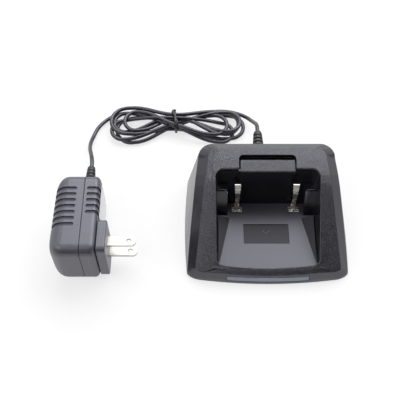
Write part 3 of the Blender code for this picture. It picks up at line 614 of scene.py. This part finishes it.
shell, shell_tree, shell_shader = shader_of("adapter_abs", (0.05, 0.05, 0.06), 0.4)
sheen(shell_shader, 1.0)
fine = noise_in(shell_tree, 1500.0, detail=2.0)
tint(shell_tree, shell_shader, fine, (0.040, 0.040, 0.050), (0.085, 0.085, 0.102))
shell_tree.links.new(spread_between(shell_tree, fine, 0.34, 0.46), shell_shader.inputs["Roughness"])
raise_grain(shell_tree, shell_shader, fine, 0.00014, 0.6, rounding=0.0006)
# Groove faces: a darker, bluer colour with weaker sheen, painted shade inside the vent grooves.
groove_shade, groove_tree, groove_shader = shader_of("groove_shade_abs", (0.045, 0.045, 0.062), 0.5)
sheen(groove_shader, 0.5)
raise_grain(groove_tree, groove_shader, noise_in(groove_tree, 1500.0), 0.00005)
for name, back_x, seam_x, rim, round_x, rows in (
    ("adapter_rear_shell", -131.0, -112.15, 8.5, -116.3, 7),
    ("adapter_front_shell", -102.7, -111.85, 3.0, -110.2, 5),
):
    outer = shell_skin(back_x, seam_x, rim)
    inner_rim = max(rim - shell_wall, least_round)
    inner = shell_skin(back_x, seam_x, inner_rim, shrink=shell_wall)
    count = len(outer[0])
    vertices = [v for ring in outer for v in ring] + [v for ring in inner for v in ring]
    start = len(outer) * count
    faces = ring_faces(outer, 0) + ring_faces(inner, start)
    faces += [(i, (i + 1) % count, start + (i + 1) % count, start + i) for i in range(count)]
    half_shell = tidy_mesh(f"{name}_skin", vertices, faces)
    half_shell.data.materials.append(shell)
    for row in range(rows):
        y = groove_start - groove_step * row
        way = 1 if back_x > seam_x else -1
        far_x = back_x + groove_overshoot * way
        slab = stadium("slab", round_x, far_x, y, groove_half, groove_low, groove_high)
        core_rim = max(rim - groove_depth, least_round)
        core_rings = shell_skin(back_x, seam_x + seam_land * way, core_rim, groove_depth)
        core = solid_skin("core", core_rings)
        slab.data.materials.append(groove_shade)
        core.data.materials.append(groove_shade)
        cut(slab, core)
        cut(half_shell, slab)
    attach(half_shell, "charger")
    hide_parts(name)
clad(shell, "plug_block")
film, film_tree, film_shader = shader_of("label_film", (0.78, 0.78, 0.79), 0.35)
tint(film_tree, film_shader, noise_in(film_tree, 300.0), (0.74, 0.74, 0.76), (0.82, 0.82, 0.83))
raise_grain(film_tree, film_shader, noise_in(film_tree, 1200.0), 0.00001)
clad(film, "rating_label")


# What travels with the cord: the tie round the hank, and the whole adapter at its far end.
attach(cord, "charger")
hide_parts("cord_from_cradle", "cord_hank", "cord_to_adapter")


# Electronics: glass-epoxy boards, sleeved capacitors, moulded devices, a taped transformer and
# an extruded heat sink. They are hidden unless the housing or a shell is off.
inner_finishes = {
    "solder_mask": ((0.02, 0.12, 0.05), (0.05, 0.22, 0.10), 0.4, 0.0, 900.0),
    "device_epoxy": ((0.015, 0.015, 0.016), (0.03, 0.03, 0.032), 0.5, 0.0, 1500.0),
    "capacitor_sleeve": ((0.03, 0.05, 0.15), (0.06, 0.09, 0.24), 0.3, 0.0, 600.0),
    "winding_tape": ((0.55, 0.38, 0.06), (0.75, 0.55, 0.14), 0.4, 0.0, 500.0),
    "sink_aluminium": ((0.66, 0.67, 0.69), (0.8, 0.8, 0.82), 0.35, 1.0, 1400.0),
    "terminal_nylon": ((0.7, 0.7, 0.64), (0.84, 0.84, 0.78), 0.45, 0.0, 800.0),
    "red_insulation": ((0.4, 0.02, 0.015), (0.6, 0.05, 0.03), 0.4, 0.0, 700.0),
}
inner_nodes = {
    "solder_mask": ("circuit_board", "adapter_board"),
    "device_epoxy": (
        "filter_coil",
        "charge_controller",
        "pass_transistor",
        "bridge_rectifier",
        "input_lead_minus",
        "output_lead",
    ),
    "capacitor_sleeve": (
        "filter_capacitor_left",
        "filter_capacitor_right",
        "mains_capacitor",
        "output_capacitor",
    ),
    "winding_tape": ("transformer",),
    "sink_aluminium": ("heat_sink",),
    "terminal_nylon": ("cord_terminal",),
    "red_insulation": ("input_lead_plus",),
}
for finish_name, (dark, light, roughness, metallic, scale) in inner_finishes.items():
    inner, inner_tree, inner_shader = shader_of(finish_name, dark, roughness, metallic)
    patches = noise_in(inner_tree, scale)
    tint(inner_tree, inner_shader, patches, dark, light)
    raise_grain(inner_tree, inner_shader, patches, 0.00002, rounding=0.00015)
    clad(inner, *inner_nodes[finish_name])


# Desk: a plain white sheet that takes the set's soft shadow.
desk_mesh = bpy.data.meshes.new("desk")
desk_half, desk_drop, white_share = 3.0, 0.0002, 0.72
corners = [
    (-desk_half, -desk_half, 0.0),
    (desk_half, -desk_half, 0.0),
    (desk_half, desk_half, 0.0),
    (-desk_half, desk_half, 0.0),
]
desk_mesh.from_pydata(corners, [], [(0, 1, 2, 3)])
desk = bpy.data.objects.new("desk", desk_mesh)
desk.location.z = -desk_drop
bpy.context.scene.collection.objects.link(desk)
white, white_tree, white_shader = shader_of("desk_white", (0.86, 0.86, 0.87), 0.9)
paths = white_tree.nodes.new("ShaderNodeLightPath")
seen = math_node(
    white_tree,
    "MAXIMUM",
    math_node(white_tree, "MULTIPLY", paths.outputs["Is Camera Ray"], white_share),
    math_node(
        white_tree, "MAXIMUM", paths.outputs["Is Glossy Ray"], paths.outputs["Is Transmission Ray"]
    ),
)
glow = white_tree.nodes.new("ShaderNodeEmission")
glow.inputs["Color"].default_value = (1.0, 1.0, 1.0, 1.0)
blend = white_tree.nodes.new("ShaderNodeMixShader")
output = white_tree.nodes["Material Output"]
white_tree.links.new(seen, blend.inputs["Fac"])
white_tree.links.new(white_shader.outputs["BSDF"], blend.inputs[1])
white_tree.links.new(glow.outputs["Emission"], blend.inputs[2])
white_tree.links.new(blend.outputs["Shader"], output.inputs["Surface"])
desk.data.materials.append(white)


# Studio: white walls behind the set, a darker room on the viewer's side, one large soft lamp
# above and behind, and two weak fills from the left.
dark_side, bright_side = 0.06, 1.0
world = bpy.data.worlds.new("studio")
bpy.context.scene.world = world
world.use_nodes = True
sky = world.node_tree
room = sky.nodes["Background"]
where = sky.nodes.new("ShaderNodeTexCoord")
split = sky.nodes.new("ShaderNodeSeparateXYZ")
sky.links.new(where.outputs["Generated"], split.inputs["Vector"])
room_light = spread_between(sky, split.outputs["Y"], dark_side, bright_side, -0.3, 0.7)
sky.links.new(room_light, room.inputs["Strength"])
room.inputs["Color"].default_value = (0.97, 0.98, 1.0, 1.0)
wall = sky.nodes.new("ShaderNodeBackground")
wall.inputs["Color"].default_value = (1.0, 1.0, 1.0, 1.0)
world_paths = sky.nodes.new("ShaderNodeLightPath")
shown = sky.nodes.new("ShaderNodeMixShader")
sky.links.new(world_paths.outputs["Is Camera Ray"], shown.inputs["Fac"])
sky.links.new(room.outputs["Background"], shown.inputs[1])
sky.links.new(wall.outputs["Background"], shown.inputs[2])
sky.links.new(shown.outputs["Shader"], sky.nodes["World Output"].inputs["Surface"])


def soft_lamp(name, place, size, power):
    """Rectangular soft box that faces the middle of the set."""
    data = bpy.data.lights.new(name, "AREA")
    data.shape = "RECTANGLE"
    data.size, data.size_y = size
    data.energy = power
    box = bpy.data.objects.new(name, data)
    box.location = place
    box.rotation_euler = (Vector(place) - aim).to_track_quat("Z", "Y").to_euler()
    bpy.context.scene.collection.objects.link(box)


soft_lamp("rear_soft_box", (0.30, 0.72, 1.1), (1.8, 0.85), 20.0)
soft_lamp("left_fill", (-0.9, -0.1, 0.7), (0.6, 0.6), 2.5)
soft_lamp("front_left_box", (-0.55, -0.42, 0.9), (0.4, 0.4), 1.8)
